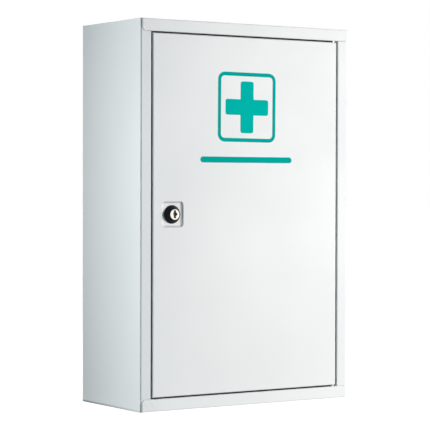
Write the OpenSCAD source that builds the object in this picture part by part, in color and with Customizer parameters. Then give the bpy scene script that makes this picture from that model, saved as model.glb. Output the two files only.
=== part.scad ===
/* Lockable wall cabinet folded from sheet steel: a carcass of five sheets, two shelves,
   a hinged door pan on pivot pins and a quarter-turn cam lock. Millimetres, +Z up, the
   door faces -Y, and the origin is under the middle of the cabinet. */

/* [Cabinet] */
// Width over the side panels
cab_w = 300; // [260:5:420]
// Height over the top and bottom panels
cab_h = 460; // [400:5:600]
// Depth from the front frame to the rear face, without the lock
body_d = 140; // [120:2:200]
// Thickness of the body and door sheet
sheet_t = 0.8; // [0.7:0.1:1]
// Outside radius of every fold
bend_r = 1.4; // [1.3:0.1:1.6]
// Width of the two upright front stiles
stile_w = 14.3; // [13:0.1:18]
// Height of the two front rails
rail_h = 14.75; // [13:0.25:18]
// Depth of the lip folded back round the door opening
lip_d = 15; // [14.5:0.1:15.2]
// Width of the flanges welded to the neighbouring sheets
weld_flange = 12; // [8:1:16]
// Rounding of the rail ends where they meet the stiles
rail_corner_r = 4; // [2:0.5:6]
// Paint-filled seam left between butted sheets
seam = 0.2; // [0.1:0.05:0.4]

/* [Door] */
// Gap between the door and each stile
door_gap_x = 2; // [1.8:0.1:2.4]
// Gap between the door and each rail
door_gap_z = 1.65; // [1.4:0.05:2.2]
// Depth of the door pan
door_d = 12; // [11.5:0.1:12.2]
// Width of the return folded in behind the door's edges
door_return = 10; // [8:1:14]
// Side of the square recess round the lock
recess_w = 32; // [31:0.5:38]
// Depth of that recess
recess_depth = 2; // [1.6:0.1:2.6]
// Width of the recess's sloping wall
recess_slope = 3; // [2:0.25:3]
// Corner radius of the recess's flat floor
recess_corner_r = 2; // [1:0.5:4]

/* [Pivot hinge] */
// Diameter of the pivot pins
pin_d = 3; // [2.5:0.1:3]
// Distance of the pins from the door's hinge edge
pin_edge = 2.9; // [2.8:0.1:3.2]
// Distance of the pins behind the door's face
pin_depth = 3.4; // [3.4:0.1:3.8]
// Diameter of the pin heads
pin_head_d = 4; // [3.6:0.1:4]
// Length of pin inside the door pan
pin_reach = 4; // [3:0.5:6]
// Outside diameter of the nylon washer that carries the door
pivot_washer_d = 4.8; // [4.4:0.1:5]

/* [Lock] */
// Distance of the lock from the door's free edge
lock_edge = 27.5; // [26:0.5:30]
// Height of the lock above the cabinet's base
lock_z = 231; // [200:0.5:260]
// Diameter of the lock head where it sits on the door
head_d = 22; // [20:0.5:24]
// Diameter of the lock head's front rim
head_front_d = 14.6; // [14.2:0.1:16]
// Height of the lock head
head_h = 7; // [5:0.1:8]
// Diameter of the threaded barrel
barrel_d = 16; // [15.5:0.5:16]
// Width of the barrel across its two flats
barrel_flats = 14; // [13.5:0.1:14.5]
// Diameter of the plug's front face
plug_face_d = 12.8; // [12.4:0.1:13]
// Diameter of the plug inside the barrel
plug_d = 11; // [10.6:0.1:11.2]
// Height of the key slot
key_slot_h = 9.4; // [8:0.2:9.4]
// Width of the key slot
key_slot_w = 2; // [1.6:0.1:2.2]
// Number of wafers in the plug
wafers = 5; // [3:1:5]
// Length of the cam from the lock's axis to its tip
cam_len = 36; // [35:0.5:38]
// Width of the cam
cam_w = 13; // [11:0.5:14]
// Thickness of the cam
cam_t = 2; // [1.6:0.1:2.2]

/* [Shelves] */
// Height of the lower shelf's surface
lower_shelf_z = 154; // [120:1:170]
// Height of the upper shelf's surface
upper_shelf_z = 306; // [290:1:340]
// Height of a shelf's folded front edge
shelf_front = 15; // [10:1:20]
// Height of a shelf's folded rear edge
shelf_rear = 10; // [6:1:14]
// Depth of a shelf rest, front to back
rest_len = 98; // [60:2:100]
// Width of a shelf rest's two legs
rest_leg = 12; // [8:1:14]

/* [Wall holes] */
// Diameter of the wall screw holes
wall_hole_d = 6.5; // [4:0.5:10]
// Distance between the holes, side to side
wall_hole_x = 220; // [160:5:230]
// Distance between the holes, top to bottom
wall_hole_z = 340; // [200:10:380]

/* [Hidden] */
$fn = 64;
bend_in = bend_r - sheet_t;
side_x = cab_w / 2;
lock_proud = head_h - recess_depth;
front_y = lock_proud - (body_d + lock_proud) / 2;
back_y = front_y + body_d;
flange_y = back_y - sheet_t;
lip_y = front_y + lip_d;
open_x = side_x - stile_w;
rail_z = cab_h - rail_h;
wall_in = side_x - sheet_t;
panel_x = wall_in - seam;

door_x = open_x - door_gap_x;
door_z0 = rail_h + door_gap_z;
door_z1 = cab_h - door_z0;
door_back = front_y + door_d;

pin_x = door_x - pin_edge;
pin_y = front_y + pin_depth;
pin_r = pin_d / 2;
run_gap = 0.05;
pin_head_h = 1.2;
washer_t = door_gap_z - 0.15;

lock_x = lock_edge - door_x;
floor_y = front_y + recess_depth;
head_y = floor_y - head_h;
barrel_r = barrel_d / 2;
barrel_len = 12.4;
barrel_y = floor_y + barrel_len;
plug_end = barrel_y + 0.1;
plug_face_t = 1.6;
stop_t = 1;
cam_y = plug_end + stop_t;
tail_w = 6;
tail_end = cam_y + cam_t - 0.1;
screw_r = 2;
screw_reach = 8;
lug_r0 = plug_d / 2 + 0.4;
lug_r1 = barrel_flats / 2 - 0.1;
stop_half = 12;
stop_play = 2;
tooth_count = 16;
nut_af = 21;
nut_t = 4;
tooth_t = 0.8;
wafer_t = 1;
wafer_pitch = 1.9;
wafer_w = 6.4;
wafer_y = head_y + 3.2;

rest_t = 1;
rest_y = -38;
shelf_y0 = rest_y - 4;
shelf_y1 = back_y - 4;
shelf_x = wall_in - 1.6;

stop_x = lock_x + 12;
stop_w = 20;
stop_sheet = 1;
stop_gap = 0.4;
stop_drop = 15;
bumper_d = 8;
bumper_gap = 0.2;
bumper_z = door_z1 - door_return / 2;

paint = "#f2f4f4";
zinc = "#b9bec2";
nylon = "#f7f7f2";

// ---- sheet-metal helpers ----

// Quarter of a fold: centre of its radius, and the quadrant that it fills
module fold(centre, quadrant, r = bend_r, t = sheet_t)
    translate(centre)
        difference() {
            intersection() {
                circle(r = r);
                translate([min(quadrant.x, 0) * r, min(quadrant.y, 0) * r])
                    square(r);
            }
            circle(r = r - t);
        }

// Flat run of sheet between two corners of its section
module run(a, b)
    translate([min(a.x, b.x), min(a.y, b.y)])
        square([abs(b.x - a.x), abs(b.y - a.y)]);

// Section in Y and Z, drawn as [y, z], carried along X from x0 to x1
module along_x(x0, x1)
    translate([x0, 0, 0])
        rotate([90, 0, 90])
            linear_extrude(height = x1 - x0)
                children();

// Section in X and Z, drawn as [x, z], carried along Y from y0 to y1
module along_y(y0, y1)
    translate([0, y1, 0])
        rotate([90, 0, 0])
            linear_extrude(height = y1 - y0)
                children();

// Turned part on the lock's axis, drawn as [radius, y]
module on_lock()
    translate([lock_x, 0, lock_z])
        rotate([-90, 0, 0])
            children();

// Rectangle with rounded corners
module round_box(x0, y0, x1, y1, r) {
    translate([x0 + r, y0])
        square([x1 - x0 - 2 * r, y1 - y0]);
    translate([x0, y0 + r])
        square([x1 - x0, y1 - y0 - 2 * r]);
    for (x = [x0 + r, x1 - r], y = [y0 + r, y1 - r])
        translate([x, y])
            circle(r = r);
}

// Everything on the right is the left one mirrored, and the bottom is the top one
module other_side()
    mirror([1, 0, 0])
        children();

module upside_down()
    translate([0, 0, cab_h])
        mirror([0, 0, 1])
            children();

// ---- carcass ----

// Plan section of the left side: rear flange, wall, stile and lip
module side_section() {
    run([bend_r - side_x, flange_y - sheet_t], [weld_flange - side_x, flange_y]);
    fold([bend_r - side_x, flange_y - bend_r], [-1, 1]);
    run([-side_x, front_y + bend_r], [-wall_in, flange_y - bend_r]);
    fold([bend_r - side_x, front_y + bend_r], [-1, -1]);
    run([bend_r - side_x, front_y], [-open_x - bend_r, front_y + sheet_t]);
    fold([-open_x - bend_r, front_y + bend_r], [1, -1]);
    run([-open_x - sheet_t, front_y + bend_r], [-open_x, lip_y]);
}

// Clearance in the stile for the rail, which leaves an ear under the rail's rounded corner
module rail_clearance() {
    corner = [-panel_x + rail_corner_r, rail_z + rail_corner_r];
    difference() {
        translate([-wall_in, rail_z - seam])
            square([stile_w + 2, rail_h + 2]);
        translate([-wall_in - 1, rail_z - seam - 1])
            square([corner.x + wall_in + 1, rail_corner_r + seam + 1]);
    }
    intersection() {
        translate([-wall_in, rail_z - seam])
            square([corner.x + wall_in, rail_corner_r + seam]);
        translate(corner)
            circle(r = rail_corner_r + seam);
    }
}

// Front and rear cut-outs at the top of a side, where the top panel fits in
module side_top_cuts() {
    along_y(front_y - 1, lip_y + 1)
        rail_clearance();
    translate([-wall_in, back_y - 6, cab_h - weld_flange - 2])
        cube([weld_flange + 2, 6, weld_flange + 3]);
}

module left_side()
    difference() {
        intersection() {
            linear_extrude(height = cab_h)
                side_section();
            along_x(-side_x - 1, side_x)
                round_box(front_y, 0, flange_y, cab_h, bend_r);
        }
        side_top_cuts();
        upside_down()
            side_top_cuts();
    }

// Section of the top panel: lip, rail, plate and rear flange
module top_section() {
    run([front_y + bend_r, rail_z], [lip_y, rail_z + sheet_t]);
    fold([front_y + bend_r, rail_z + bend_r], [-1, -1]);
    run([front_y, rail_z + bend_r], [front_y + sheet_t, cab_h - bend_r]);
    fold([front_y + bend_r, cab_h - bend_r], [-1, 1]);
    run([front_y + bend_r, cab_h - sheet_t], [flange_y - bend_r, cab_h]);
    fold([flange_y - bend_r, cab_h - bend_r], [1, 1]);
    run([flange_y - sheet_t, cab_h - weld_flange], [flange_y, cab_h - bend_r]);
}

// Flange along the left end of the top panel, welded to the side panel
module top_end_flange(y0, y1)
    along_y(y0, y1) {
        fold([bend_r - wall_in, cab_h - bend_r], [-1, 1]);
        run([-wall_in, cab_h - weld_flange], [sheet_t - wall_in, cab_h - bend_r]);
    }

// Left corner taken off the rail's lower edge
module rail_corner_cut() {
    corner = [-panel_x + rail_corner_r, rail_z + rail_corner_r];
    along_y(front_y - 1, front_y + bend_r + 0.4)
        difference() {
            translate([-side_x, rail_z - 1])
                square([corner.x + side_x, rail_corner_r + 1]);
            translate(corner)
                circle(r = rail_corner_r);
        }
}

module top_sheet() {
    end_y0 = front_y + 4;
    end_y1 = flange_y - 4;
    slit = 0.3;
    difference() {
        along_x(-panel_x, panel_x)
            top_section();
        for (side = [0, 1])
            mirror([side, 0, 0]) {
                rail_corner_cut();
                translate([-side_x, end_y0 - slit, cab_h - 2])
                    cube([side_x - wall_in + bend_r, end_y1 - end_y0 + 2 * slit, 3]);
            }
        translate([pin_x, pin_y, rail_z - 1])
            cylinder(r = pin_r, h = sheet_t + 2);
    }
    for (side = [0, 1])
        mirror([side, 0, 0])
            top_end_flange(end_y0, end_y1);
}

module left_side_panel()
    color(paint)
        left_side();

module right_side_panel()
    color(paint)
        other_side()
            left_side();

module top_panel()
    color(paint)
        top_sheet();

module bottom_panel()
    color(paint)
        upside_down()
            top_sheet();

module back_panel() {
    edge = bend_r + 0.4;
    color(paint)
        difference() {
            translate([edge - side_x, flange_y, edge])
                cube([cab_w - 2 * edge, sheet_t, cab_h - 2 * edge]);
            for (x = [-1, 1], z = [-1, 1])
                translate([x * wall_hole_x / 2, flange_y - 1, cab_h / 2 + z * wall_hole_z / 2])
                    rotate([-90, 0, 0])
                        cylinder(d = wall_hole_d, h = sheet_t + 2);
        }
}

// ---- shelves ----

// Section of a shelf: return, front edge, plate and rear edge; z is its surface
module shelf_section(z) {
    run([shelf_y0 + bend_r, z - shelf_front], [shelf_y0 + 7, z - shelf_front + sheet_t]);
    fold([shelf_y0 + bend_r, z - shelf_front + bend_r], [-1, -1]);
    run([shelf_y0, z - shelf_front + bend_r], [shelf_y0 + sheet_t, z - bend_r]);
    fold([shelf_y0 + bend_r, z - bend_r], [-1, 1]);
    run([shelf_y0 + bend_r, z - sheet_t], [shelf_y1 - bend_r, z]);
    fold([shelf_y1 - bend_r, z - bend_r], [1, 1]);
    run([shelf_y1 - sheet_t, z - shelf_rear], [shelf_y1, z - bend_r]);
}

module shelf(z)
    color(paint)
        along_x(-shelf_x, shelf_x)
            shelf_section(z);

// Left rest: an angle welded to the side panel under a shelf
module shelf_rest(z) {
    top = z - sheet_t;
    color(paint)
        along_y(rest_y, rest_y + rest_len) {
            run([-wall_in, top - rest_leg], [rest_t - wall_in, top - bend_r]);
            fold([bend_r - wall_in, top - bend_r], [-1, 1], bend_r, rest_t);
            run([bend_r - wall_in, top - rest_t], [rest_leg - wall_in, top]);
        }
}

module upper_shelf()
    shelf(upper_shelf_z);

module lower_shelf()
    shelf(lower_shelf_z);

module upper_left_shelf_rest()
    shelf_rest(upper_shelf_z);

module upper_right_shelf_rest()
    other_side()
        shelf_rest(upper_shelf_z);

module lower_left_shelf_rest()
    shelf_rest(lower_shelf_z);

module lower_right_shelf_rest()
    other_side()
        shelf_rest(lower_shelf_z);

// ---- door stops and bumpers ----

// Angle welded on the rail's lip; its hanging leg carries the bumper
module door_stop() {
    leg_y = lip_y + stop_gap;
    top = rail_z + sheet_t + stop_sheet;
    color(paint)
        difference() {
            along_x(stop_x - stop_w / 2, stop_x + stop_w / 2) {
                run([lip_y - 9, top - stop_sheet], [leg_y + stop_sheet - bend_r, top]);
                fold([leg_y + stop_sheet - bend_r, top - bend_r], [1, 1], bend_r, stop_sheet);
                run([leg_y, top - stop_drop], [leg_y + stop_sheet, top - bend_r]);
            }
            translate([stop_x, leg_y - 1, bumper_z])
                rotate([-90, 0, 0])
                    cylinder(r = 1.9, h = stop_sheet + 2);
        }
}

// Push-in rubber bumper: domed head, neck through the stop, and a barb behind it
module bumper() {
    leg_y = lip_y + stop_gap;
    reach = leg_y - door_back - bumper_gap;
    head_r = bumper_d / 2;
    color("#2b2c2e")
        translate([stop_x, leg_y, bumper_z])
            rotate([-90, 0, 0])
                rotate_extrude()
                    polygon([
                        [0, -reach], [head_r - 1.4, -reach], [head_r - 0.4, -reach + 0.5],
                        [head_r, -reach + 1.5], [head_r, 0], [1.9, 0], [1.9, stop_sheet],
                        [2.5, stop_sheet], [1.4, stop_sheet + 1.8], [0, stop_sheet + 1.8]
                    ]);
}

module upper_door_stop()
    door_stop();

module lower_door_stop()
    upside_down()
        door_stop();

module upper_bumper()
    bumper();

module lower_bumper()
    upside_down()
        bumper();

// ---- pivot hinge ----

// Headed pin pressed into the rail's lip, down through the door pan's edge
module pivot_pin() {
    head_z = rail_z + sheet_t;
    shank = head_z - (door_z1 - sheet_t) + pin_reach;
    color(zinc)
        translate([pin_x, pin_y, head_z - shank])
            rotate_extrude()
                polygon([
                    [0, 0], [pin_r - 0.5, 0], [pin_r, 0.6], [pin_r, shank],
                    [pin_head_d / 2, shank], [pin_head_d / 2, shank + pin_head_h - 0.4],
                    [pin_head_d / 2 - 0.4, shank + pin_head_h], [0, shank + pin_head_h]
                ]);
}

module upper_pivot_pin()
    pivot_pin();

module lower_pivot_pin()
    upside_down()
        pivot_pin();

module pivot_washer()
    color(nylon)
        translate([pin_x, pin_y, rail_h])
            difference() {
                cylinder(d = pivot_washer_d, h = washer_t);
                translate([0, 0, -1])
                    cylinder(r = pin_r + run_gap, h = washer_t + 2);
            }

// ---- door pan ----

// Solid block of the pan with every edge folded round; inset shrinks it to the cavity
module pan_block(inset, r)
    intersection() {
        translate([0, 0, door_z0 + inset])
            linear_extrude(height = door_z1 - door_z0 - 2 * inset)
                round_box(inset - door_x, front_y + inset, door_x - inset, door_back - inset, r);
        along_x(inset - door_x, door_x - inset)
            round_box(front_y + inset, door_z0 + inset, door_back - inset, door_z1 - inset, r);
    }

// Half of the recess's section from its floor out to the door's face, as [radius, depth];
// the wall is an S-bend that leaves both surfaces level
function recess_wall(depth, steps = 8) = [
    for (i = [0 : steps])
        [recess_corner_r + recess_slope * i / steps, depth * (1 + cos(180 * i / steps)) / 2]
];

// Plug of the recess's shape: depth is how far its floor lies behind plane y, and it
// reaches ahead of that plane by lead
module recess_plug(y, depth, lead) {
    half = recess_w / 2 - recess_slope - recess_corner_r;
    section = concat(
        [[0, -lead], [0, depth]],
        recess_wall(depth),
        [[recess_corner_r + recess_slope, -lead]]
    );
    translate([lock_x, y, lock_z])
        rotate([-90, 0, 0]) {
            translate([-half, -half, -lead])
                cube([2 * half, 2 * half, lead + depth]);
            for (turn = [0 : 3])
                rotate([0, 0, 90 * turn]) {
                    translate([half, half, 0])
                        rotate_extrude(angle = 90)
                            polygon(section);
                    translate([half, half, 0])
                        rotate([90, 0, 0])
                            linear_extrude(height = 2 * half)
                                polygon(section);
                }
        }
}

// Slit between two neighbouring returns at a corner of the pan
module mitre_slit() {
    slit = 0.4;
    length = door_return * sqrt(2) + 1;
    translate([-door_x + bend_r, door_back - sheet_t - 0.1, door_z1 - bend_r])
        rotate([0, 45, 0])
            translate([0, 0, -slit / 2])
                cube([length, sheet_t + 1, slit]);
}

module door_panel()
    color(paint)
        difference() {
            union() {
                difference() {
                    pan_block(0, bend_r);
                    pan_block(sheet_t, bend_in);
                    translate([door_return - door_x, door_back - sheet_t - 1, door_z0 + door_return])
                        cube([2 * (door_x - door_return), sheet_t + 2,
                              door_z1 - door_z0 - 2 * door_return]);
                    for (side = [0, 1])
                        mirror([side, 0, 0]) {
                            mitre_slit();
                            upside_down()
                                mitre_slit();
                        }
                }
                recess_plug(front_y + sheet_t, recess_depth, sheet_t / 2);
            }
            recess_plug(front_y, recess_depth, 1);
            on_lock()
                translate([0, 0, floor_y - 1])
                    intersection() {
                        cylinder(r = barrel_r + 0.1, h = sheet_t + 2);
                        translate([-barrel_flats / 2 - 0.1, -barrel_r - 1, -1])
                            cube([barrel_flats + 0.2, barrel_d + 2, sheet_t + 4]);
                    }
            for (z = [door_z0 - 1, door_z1 - sheet_t - 1])
                translate([pin_x, pin_y, z])
                    cylinder(r = pin_r + run_gap, h = sheet_t + 2);
        }

// ---- cam lock ----

// Pie slice from angle a0 to a1, at most a half turn
module wedge(a0, a1, r = 20)
    polygon(concat([[0, 0]], [for (i = [0 : 4]) r * angle_point(a0 + (a1 - a0) * i / 4)]));

function angle_point(a) = [cos(a), sin(a)];

// Cast housing: cone head on the door, two-flat barrel through it, and a stop lug behind
module lock_housing() {
    bore_r = plug_d / 2 + run_gap;
    face_r = plug_face_d / 2 + run_gap;
    face_floor = head_y + plug_face_t + 0.2;
    color("#1b1c1e")
        on_lock() {
            difference() {
                rotate_extrude()
                    polygon([
                        [bore_r, face_floor], [face_r, face_floor], [face_r, head_y],
                        [head_front_d / 2 - 0.3, head_y], [head_front_d / 2, head_y + 0.3],
                        [head_d / 2 - 0.2, floor_y - 1], [head_d / 2, floor_y - 0.7],
                        [head_d / 2, floor_y], [barrel_r, floor_y], [barrel_r, barrel_y - 0.4],
                        [barrel_r - 0.4, barrel_y], [bore_r, barrel_y]
                    ]);
                for (side = [-1, 1])
                    translate([side * (barrel_flats + barrel_d) / 2 - barrel_r, -barrel_d, floor_y])
                        cube([barrel_d, 2 * barrel_d, barrel_y - floor_y + 1]);
            }
            translate([0, 0, barrel_y - 0.5])
                linear_extrude(height = stop_t + 0.4)
                    difference() {
                        circle(r = lug_r1);
                        circle(r = lug_r0);
                        wedge(270 - stop_half - stop_play, 360 + stop_half + stop_play);
                    }
        }
}

// Hexagon nut that clamps the housing to the door, its corners chamfered on both faces
module lock_nut() {
    corner = nut_af / 2 / cos(30);
    face_r = nut_af / 2 - 0.3;
    slope_h = (corner - face_r) * tan(30);
    color(zinc)
        on_lock()
            translate([0, 0, floor_y + sheet_t + tooth_t])
                difference() {
                    intersection() {
                        cylinder(r = corner, h = nut_t, $fn = 6);
                        rotate_extrude()
                            polygon([
                                [0, 0], [face_r, 0], [corner, slope_h],
                                [corner, nut_t - slope_h], [face_r, nut_t], [0, nut_t]
                            ]);
                    }
                    translate([0, 0, -1])
                        cylinder(r = barrel_r + run_gap, h = nut_t + 2);
                }
}

// Washer with teeth round its rim, under the nut
module lock_tooth_washer()
    color(zinc)
        on_lock()
            translate([0, 0, floor_y + sheet_t])
                linear_extrude(height = tooth_t)
                    difference() {
                        circle(r = nut_af / 2 - 0.3);
                        circle(r = barrel_r + run_gap);
                        for (i = [0 : tooth_count - 1])
                            rotate(i * 360 / tooth_count)
                                translate([nut_af / 2 - 0.6, 0])
                                    square([1.8, 1.2], center = true);
                    }

// Key slot with a ward on each side and a spread foot; +y points down
module key_slot() {
    half = key_slot_w / 2;
    foot = key_slot_h / 2;
    translate([0.4, -0.3]) {
        translate([-half, -foot])
            square([key_slot_w, key_slot_h]);
        translate([-half - 0.3, -1.3])
            circle(r = 1.1);
        translate([half + 0.2, 0])
            circle(r = 1.7);
        polygon([[-half, foot - 1.4], [-half - 0.7, foot - 0.4], [-half, foot]]);
        polygon([[half, foot - 1.4], [half + 0.8, foot - 0.4], [half, foot]]);
    }
}

// Place of wafer number i along the plug
function wafer_at(i) = wafer_y + i * wafer_pitch;

// Plug: broad face, key slot, wafer slots, and a square tail tapped for the cam screw
module lock_plug() {
    slot_depth = wafers * wafer_pitch + 4;
    color("#d9dcde")
        on_lock()
            difference() {
                union() {
                    rotate_extrude()
                        polygon([
                            [0, head_y + 0.1], [plug_face_d / 2 - 0.3, head_y + 0.1],
                            [plug_face_d / 2, head_y + 0.4],
                            [plug_face_d / 2, head_y + 0.1 + plug_face_t],
                            [plug_d / 2, head_y + 0.1 + plug_face_t], [plug_d / 2, plug_end],
                            [0, plug_end]
                        ]);
                    translate([-tail_w / 2, -tail_w / 2, plug_end - 1])
                        cube([tail_w, tail_w, tail_end - plug_end + 1]);
                }
                translate([0, 0, head_y - 1])
                    linear_extrude(height = slot_depth + 1)
                        key_slot();
                for (i = [0 : wafers - 1])
                    translate([-wafer_w / 2, -plug_d, wafer_at(i)])
                        cube([wafer_w, 2 * plug_d, wafer_t]);
                translate([0, 0, tail_end - screw_reach])
                    cylinder(r = screw_r, h = screw_reach + 1);
            }
}

// Brass wafers, drawn in as a key holds them; each has its own window height
module lock_wafers()
    color("#c9a227")
        on_lock()
            for (i = [0 : wafers - 1])
                translate([0, 0, wafer_at(i)])
                    linear_extrude(height = wafer_t)
                        difference() {
                            intersection() {
                                circle(r = plug_d / 2 - 0.1);
                                square([wafer_w, plug_d], center = true);
                            }
                            translate([0.4 - key_slot_w / 2 - 0.1, -3.4 + 0.5 * (i * 2 % 3)])
                                square([key_slot_w + 0.2, 6]);
                        }

// Disc on the plug's tail whose tab runs between the ends of the housing's lug
module turn_stop_washer()
    color(zinc)
        on_lock()
            translate([0, 0, plug_end])
                linear_extrude(height = stop_t)
                    difference() {
                        union() {
                            circle(r = lug_r0 - 0.3);
                            intersection() {
                                circle(r = lug_r1);
                                wedge(270 - stop_half, 270 + stop_half);
                            }
                        }
                        square(tail_w, center = true);
                    }

// Cam: hangs down when unlocked, and turns behind the left stile's lip to lock
module lock_cam() {
    tip = cam_w / 2;
    color(zinc)
        on_lock()
            translate([0, 0, cam_y])
                linear_extrude(height = cam_t)
                    difference() {
                        union() {
                            circle(r = cam_w / 2 + 1.5);
                            translate([-tip, 0])
                                square([cam_w, cam_len - tip]);
                            translate([0, cam_len - tip])
                                circle(r = tip);
                        }
                        square(tail_w, center = true);
                    }
}

module cam_washer()
    color(zinc)
        on_lock()
            translate([0, 0, cam_y + cam_t])
                difference() {
                    cylinder(r = 5, h = 0.8);
                    translate([0, 0, -1])
                        cylinder(r = screw_r + run_gap, h = 3);
                }

// Pan-head screw up the middle of the plug's tail, with a cross recess
module cam_screw() {
    seat = cam_y + cam_t + 0.8;
    color(zinc)
        on_lock()
            difference() {
                rotate_extrude()
                    polygon([
                        [0, tail_end - screw_reach + 0.6], [screw_r - 0.5, tail_end - screw_reach + 0.6],
                        [screw_r, tail_end - screw_reach + 1.2], [screw_r, seat], [3.9, seat],
                        [3.9, seat + 1.4], [3.3, seat + 2.2], [2, seat + 2.6], [0, seat + 2.6]
                    ]);
                for (turn = [0, 90])
                    rotate([0, 0, turn])
                        translate([-2.2, -0.45, seat + 1.2])
                            cube([4.4, 0.9, 2]);
            }
}

left_side_panel();
right_side_panel();
top_panel();
bottom_panel();
back_panel();
upper_shelf();
lower_shelf();
upper_left_shelf_rest();
upper_right_shelf_rest();
lower_left_shelf_rest();
lower_right_shelf_rest();
upper_door_stop();
lower_door_stop();
upper_bumper();
lower_bumper();
upper_pivot_pin();
lower_pivot_pin();
pivot_washer();
door_panel();
lock_housing();
lock_nut();
lock_tooth_washer();
lock_plug();
lock_wafers();
turn_stop_washer();
lock_cam();
cam_washer();
cam_screw();
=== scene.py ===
import math

import bmesh
import bpy
from mathutils import Matrix, Vector


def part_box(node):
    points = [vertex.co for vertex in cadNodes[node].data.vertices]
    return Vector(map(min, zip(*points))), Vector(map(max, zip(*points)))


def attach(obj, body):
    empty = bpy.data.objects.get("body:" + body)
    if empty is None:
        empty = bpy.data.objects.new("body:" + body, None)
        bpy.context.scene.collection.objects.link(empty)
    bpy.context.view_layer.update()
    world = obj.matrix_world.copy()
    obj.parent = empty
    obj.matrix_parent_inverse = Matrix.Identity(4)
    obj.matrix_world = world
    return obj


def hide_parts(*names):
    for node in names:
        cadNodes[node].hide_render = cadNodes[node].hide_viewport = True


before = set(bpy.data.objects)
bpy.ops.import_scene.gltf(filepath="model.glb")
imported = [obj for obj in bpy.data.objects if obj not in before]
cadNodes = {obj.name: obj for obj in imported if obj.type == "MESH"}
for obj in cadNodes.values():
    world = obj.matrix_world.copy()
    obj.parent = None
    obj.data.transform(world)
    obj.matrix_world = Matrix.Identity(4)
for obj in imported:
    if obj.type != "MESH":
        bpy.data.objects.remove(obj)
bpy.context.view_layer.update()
mm = 0.001


# camera

cameraPlan = {
    "aim": (0.0, -0.0675, 0.230),  # middle of the front frame
    "yaw": 0.58059,  # turned round to the cabinet's left, radians
    "pitch": 0.01663,
    "roll": 0.00225,
    "sideways": 0.039090,  # metres from the aim point, along the camera's own axes
    "away": 2.209891,
    "lift": 0.000513,
    "lens": 153.185,
    "sensor": 36.0,
}


def placeCamera(plan):
    cosYaw, sinYaw = math.cos(plan["yaw"]), math.sin(plan["yaw"])
    cosPitch, sinPitch = math.cos(plan["pitch"]), math.sin(plan["pitch"])
    right = Vector((cosYaw, -sinYaw, 0))
    forward = Vector((cosPitch * sinYaw, cosPitch * cosYaw, -sinPitch))
    up = Vector((sinPitch * sinYaw, sinPitch * cosYaw, cosPitch))
    spot = Vector(plan["aim"]) - plan["sideways"] * right - plan["away"] * forward - plan["lift"] * up
    cosRoll, sinRoll = math.cos(plan["roll"]), math.sin(plan["roll"])
    rolledRight = right * cosRoll + up * sinRoll
    rolledUp = up * cosRoll - right * sinRoll
    turn = Matrix((rolledRight, rolledUp, -forward)).transposed()
    data = bpy.data.cameras.new("cabinetCamera")
    data.lens = plan["lens"]
    data.sensor_width = plan["sensor"]
    camera = bpy.data.objects.new("cabinetCamera", data)
    bpy.context.scene.collection.objects.link(camera)
    camera.matrix_world = Matrix.Translation(spot) @ turn.to_4x4()
    bpy.context.scene.camera = camera


placeCamera(cameraPlan)
print("camera placed")


# studio

studio = {
    "skyFill": 0.2933,  # what the room's walls give most sides
    "darkFill": 0.0274,  # the unlit corner of the room, in front and to the left
    "skyTint": (0.94, 1.0, 1.06, 1),
    "leftTint": (0.70, 0.99, 1.10, 1),  # the bluer wall on the cabinet's left
    "darkCorner": (-0.7071, -0.7071, 0.0),
    "cornerEdge": (0.05, 0.75),  # how far round that corner reaches, as a dot product
    "floorSize": 30.0,
    "floorBounce": 0.312,  # the even light it throws back at the cabinet
    "floorTint": (0.96, 1.0, 1.01, 1),
    "floorLeftTint": (0.76, 0.99, 1.06, 1),
    "floorDrift": (-0.45, 0.12),  # where across the floor one tint gives way to the other
    "baseHalf": (0.150, 0.070),  # half the cabinet's footprint
    "baseMiddle": 0.0025,  # of its depth
    "baseReach": 0.12,  # how far round the cabinet the floor throws more light back
    "baseLift": 0.35,
    "floorGlow": 0.93,
    "floorShade": 0.45,  # share of the floor's look that shadows can darken
}
softboxes = [
    {"name": "keySoftbox", "spot": (1.216, -1.461, 0.401), "aim": (0.342, -0.460, 0.050),
     "size": (0.252, 0.762), "watts": 19.75, "spread": 2.526, "tint": (1.0, 0.98, 0.960)},
    {"name": "leftStrip", "spot": (-1.397, 0.852, 0.273), "aim": (-0.600, -0.700, 0.278),
     "size": (0.087, 0.510), "watts": 9.66, "spread": 1.221, "tint": (0.985, 0.99, 0.99)},
    {"name": "rearSoftbox", "spot": (0.317, 1.370, 2.400), "aim": (0.598, 0.148, 0.577),
     "size": (0.400, 0.900), "watts": 8.14, "spread": 1.024, "tint": (0.99, 1.0, 1.01)},
]


def hangSoftbox(plan):
    data = bpy.data.lights.new(plan["name"], "AREA")
    data.shape = "RECTANGLE"
    data.size, data.size_y = plan["size"]
    data.energy = plan["watts"]
    data.spread = plan["spread"]
    data.color = plan["tint"]
    lamp = bpy.data.objects.new(plan["name"], data)
    bpy.context.scene.collection.objects.link(lamp)
    beam = Vector(plan["aim"]) - Vector(plan["spot"])
    lamp.matrix_world = Matrix.Translation(plan["spot"]) @ beam.to_track_quat("-Z", "Y").to_matrix().to_4x4()
    lamp.visible_camera = False


def feed(tree, node, feeds):  # links what is a socket and sets what is a plain value
    for key, value in feeds.items():
        if isinstance(value, bpy.types.NodeSocket):
            tree.links.new(value, node.inputs[key])
        else:
            node.inputs[key].default_value = value


def addNode(tree, kind, feeds=None, **settings):
    node = tree.nodes.new(kind)
    for key, value in settings.items():
        setattr(node, key, value)
    feed(tree, node, feeds or {})
    return node


def put(tree, kind, feeds=None, **settings):
    return addNode(tree, "ShaderNode" + kind, feeds, **settings)


def calc(tree, operation, *feeds, clamp=False):
    return put(tree, "Math", dict(enumerate(feeds)), operation=operation, use_clamp=clamp).outputs[0]


def product(tree, first, *others):
    for other in others:
        first = calc(tree, "MULTIPLY", first, other)
    return first


def reach(tree, across, upright):  # straight distance from two offsets
    squares = (product(tree, part, part) for part in (across, upright))
    return calc(tree, "SQRT", calc(tree, "ADD", *squares))


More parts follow.
